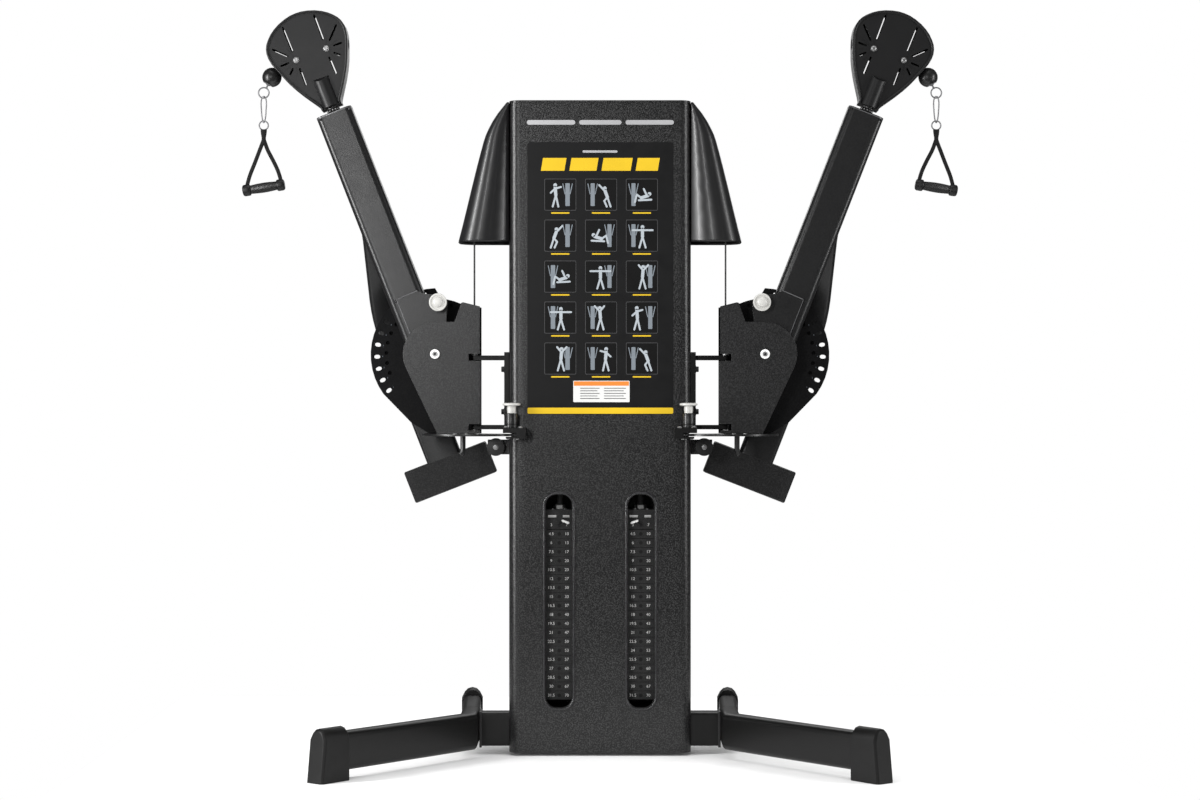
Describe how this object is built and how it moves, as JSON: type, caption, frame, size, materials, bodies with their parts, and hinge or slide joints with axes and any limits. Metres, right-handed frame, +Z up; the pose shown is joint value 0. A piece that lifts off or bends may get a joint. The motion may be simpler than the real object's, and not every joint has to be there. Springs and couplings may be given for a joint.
{
  "type": "cable crossover machine",
  "caption": "Free-standing cable crossover machine: a weight tower on splayed legs with two swinging, tilting counterweighted pulley arms and hand grips.",
  "frame": {"origin": "centre of the machine's footprint, on the floor", "axes": "+Z up, -Y towards the user, +X to the user's right when facing the machine"},
  "size_m": [2.0282, 1.0024, 2.0991],
  "materials": {
    "cover_black": "fine textured powder coat",
    "frame_black": "satin powder coat",
    "plate_grey": "satin dark grey powder coat",
    "shroud_black": "gloss thermoformed",
    "stack_black": "textured black on cast plates",
    "rubber_black": "matt moulded rubber",
    "steel_bright": "polished",
    "knob_white": "turned, pale anodised",
    "moulded_black": "moulded, fine grain",
    "webbing_black": "woven webbing",
    "cable_black": "nylon-coated steel cable"
  },
  "bodies": {
    "frame": {"base_bar": "frame_black", "tower_frame": "frame_black", "front_cover": "cover_black", "back_cover": "cover_black", "front_leg_left": "frame_black", "rear_leg_left": "frame_black", "front_foot_left": "rubber_black", "rear_foot_left": "rubber_black", "side_shroud_left": "shroud_black", "weight_stack_left": "stack_black", "swivel_bracket_left": "frame_black", "cable_left": "cable_black", "front_leg_right": "frame_black", "rear_leg_right": "frame_black", "front_foot_right": "rubber_black", "rear_foot_right": "rubber_black", "side_shroud_right": "shroud_black", "weight_stack_right": "stack_black", "swivel_bracket_right": "frame_black", "cable_right": "cable_black"},
    "carrier_left": {"pivot_plate_left": "plate_grey", "tilt_sector_left": "frame_black", "swivel_post_left": "frame_black", "index_plate_left": "frame_black"},
    "arm_left": {"arm_tube_left": "frame_black", "counterweight_left": "frame_black"},
    "tilt_pin_left": {"tilt_pin_left": "knob_white"},
    "head_left": {"head_cover_left": "moulded_black", "head_frame_left": "moulded_black", "cable_stop_left": "rubber_black"},
    "head_pulley_inner_left": {"head_pulley_inner_left": "moulded_black"},
    "head_pulley_outer_left": {"head_pulley_outer_left": "moulded_black"},
    "clip_left": {"snap_hook_left": "steel_bright"},
    "grip_left": {"handle_strap_left": "webbing_black", "handle_grip_left": "rubber_black"},
    "lift_left": {"lift_plate_left": "stack_black"},
    "selector_left": {"selector_pin_left": "knob_white"},
    "swing_pin_left": {"swing_pin_left": "knob_white"},
    "top_pulley_inner_left": {"top_pulley_inner_left": "moulded_black"},
    "top_pulley_outer_left": {"top_pulley_outer_left": "moulded_black"},
    "carrier_right": {"pivot_plate_right": "plate_grey", "tilt_sector_right": "frame_black", "swivel_post_right": "frame_black", "index_plate_right": "frame_black"},
    "arm_right": {"arm_tube_right": "frame_black", "counterweight_right": "frame_black"},
    "tilt_pin_right": {"tilt_pin_right": "knob_white"},
    "head_right": {"head_cover_right": "moulded_black", "head_frame_right": "moulded_black", "cable_stop_right": "rubber_black"},
    "head_pulley_inner_right": {"head_pulley_inner_right": "moulded_black"},
    "head_pulley_outer_right": {"head_pulley_outer_right": "moulded_black"},
    "clip_right": {"snap_hook_right": "steel_bright"},
    "grip_right": {"handle_strap_right": "webbing_black", "handle_grip_right": "rubber_black"},
    "lift_right": {"lift_plate_right": "stack_black"},
    "selector_right": {"selector_pin_right": "knob_white"},
    "swing_pin_right": {"swing_pin_right": "knob_white"},
    "top_pulley_inner_right": {"top_pulley_inner_right": "moulded_black"},
    "top_pulley_outer_right": {"top_pulley_outer_right": "moulded_black"}
  },
  "joints": [
    {"name": "swing_left", "type": "hinge", "parent": "frame", "child": "carrier_left", "pos_m": [-0.3555, 0.08, 1], "axis": [0, 0, 1], "range_deg": [0, 90]},
    {"name": "tilt_left", "type": "hinge", "parent": "carrier_left", "child": "arm_left", "pos_m": [-0.4635, 0.08, 1.129], "axis": [0, -1, 0], "range_deg": [-11.5, 115]},
    {"name": "tilt_pin_pull_left", "type": "slide", "parent": "arm_left", "child": "tilt_pin_left", "axis": [0, -1, 0], "range_m": [-0.0095, 0]},
    {"name": "head_swivel_left", "type": "hinge", "parent": "arm_left", "child": "head_left", "pos_m": [-0.75712, 0.08, 1.82703], "axis": [-0.3633, 0, 0.9317], "continuous": true},
    {"name": "head_wheel_inner_left", "type": "hinge", "parent": "head_left", "child": "head_pulley_inner_left", "pos_m": [-0.7723, 0.08, 1.99123], "axis": [0, 1, 0], "continuous": true},
    {"name": "head_wheel_outer_left", "type": "hinge", "parent": "head_left", "child": "head_pulley_outer_left", "pos_m": [-0.85708, 0.08, 1.95817], "axis": [0, 1, 0], "continuous": true},
    {"name": "clip_swing_left", "type": "hinge", "parent": "head_left", "child": "clip_left", "pos_m": [-0.9521, 0.08, 1.8697], "axis": [0, 1, 0], "range_deg": [-15, 100]},
    {"name": "grip_swing_left", "type": "hinge", "parent": "clip_left", "child": "grip_left", "pos_m": [-0.9521, 0.08, 1.7773], "axis": [1, 0, 0], "range_deg": [-80, 80]},
    {"name": "stack_lift_left", "type": "slide", "parent": "frame", "child": "lift_left", "axis": [0, 0, 1], "range_m": [0, 0.6]},
    {"name": "selector_pull_left", "type": "slide", "parent": "lift_left", "child": "selector_left", "axis": [0, 1, 0], "range_m": [-0.09, 0]},
    {"name": "swing_pin_pull_left", "type": "slide", "parent": "frame", "child": "swing_pin_left", "axis": [0, 0, 1], "range_m": [-0.0105, 0]},
    {"name": "top_wheel_inner_left", "type": "hinge", "parent": "frame", "child": "top_pulley_inner_left", "pos_m": [-0.16298, 0.12011, 1.53], "axis": [-0.204, 0.979, 0], "range_deg": [-720, 10]},
    {"name": "top_wheel_outer_left", "type": "hinge", "parent": "frame", "child": "top_pulley_outer_left", "pos_m": [-0.30802, 0.08989, 1.53], "axis": [-0.204, 0.979, 0], "range_deg": [-720, 10]},
    {"name": "swing_right", "type": "hinge", "parent": "frame", "child": "carrier_right", "pos_m": [0.3555, 0.08, 1], "axis": [0, 0, 1], "range_deg": [-90, 0]},
    {"name": "tilt_right", "type": "hinge", "parent": "carrier_right", "child": "arm_right", "pos_m": [0.4635, 0.08, 1.129], "axis": [0, 1, 0], "range_deg": [-11.5, 115]},
    {"name": "tilt_pin_pull_right", "type": "slide", "parent": "arm_right", "child": "tilt_pin_right", "axis": [0, -1, 0], "range_m": [-0.0095, 0]},
    {"name": "head_swivel_right", "type": "hinge", "parent": "arm_right", "child": "head_right", "pos_m": [0.75712, 0.08, 1.82703], "axis": [0.3633, 0, 0.9317], "continuous": true},
    {"name": "head_wheel_inner_right", "type": "hinge", "parent": "head_right", "child": "head_pulley_inner_right", "pos_m": [0.7723, 0.08, 1.99123], "axis": [0, 1, 0], "continuous": true},
    {"name": "head_wheel_outer_right", "type": "hinge", "parent": "head_right", "child": "head_pulley_outer_right", "pos_m": [0.85708, 0.08, 1.95817], "axis": [0, 1, 0], "continuous": true},
    {"name": "clip_swing_right", "type": "hinge", "parent": "head_right", "child": "clip_right", "pos_m": [0.9521, 0.08, 1.8697], "axis": [0, -1, 0], "range_deg": [-15, 100]},
    {"name": "grip_swing_right", "type": "hinge", "parent": "clip_right", "child": "grip_right", "pos_m": [0.9521, 0.08, 1.7773], "axis": [1, 0, 0], "range_deg": [-80, 80]},
    {"name": "stack_lift_right", "type": "slide", "parent": "frame", "child": "lift_right", "axis": [0, 0, 1], "range_m": [0, 0.6]},
    {"name": "selector_pull_right", "type": "slide", "parent": "lift_right", "child": "selector_right", "axis": [0, 1, 0], "range_m": [-0.09, 0]},
    {"name": "swing_pin_pull_right", "type": "slide", "parent": "frame", "child": "swing_pin_right", "axis": [0, 0, 1], "range_m": [-0.0105, 0]},
    {"name": "top_wheel_inner_right", "type": "hinge", "parent": "frame", "child": "top_pulley_inner_right", "pos_m": [0.16298, 0.12011, 1.53], "axis": [0.204, 0.979, 0], "range_deg": [-10, 720]},
    {"name": "top_wheel_outer_right", "type": "hinge", "parent": "frame", "child": "top_pulley_outer_right", "pos_m": [0.30802, 0.08989, 1.53], "axis": [0.204, 0.979, 0], "range_deg": [-10, 720]}
  ],
  "couplings": [
    {"joint": "top_wheel_inner_left", "follows": "stack_lift_left", "rad_per_m": -20.62},
    {"joint": "top_wheel_outer_left", "follows": "stack_lift_left", "rad_per_m": -20.62},
    {"joint": "top_wheel_inner_right", "follows": "stack_lift_right", "rad_per_m": 20.62},
    {"joint": "top_wheel_outer_right", "follows": "stack_lift_right", "rad_per_m": 20.62}
  ]
}
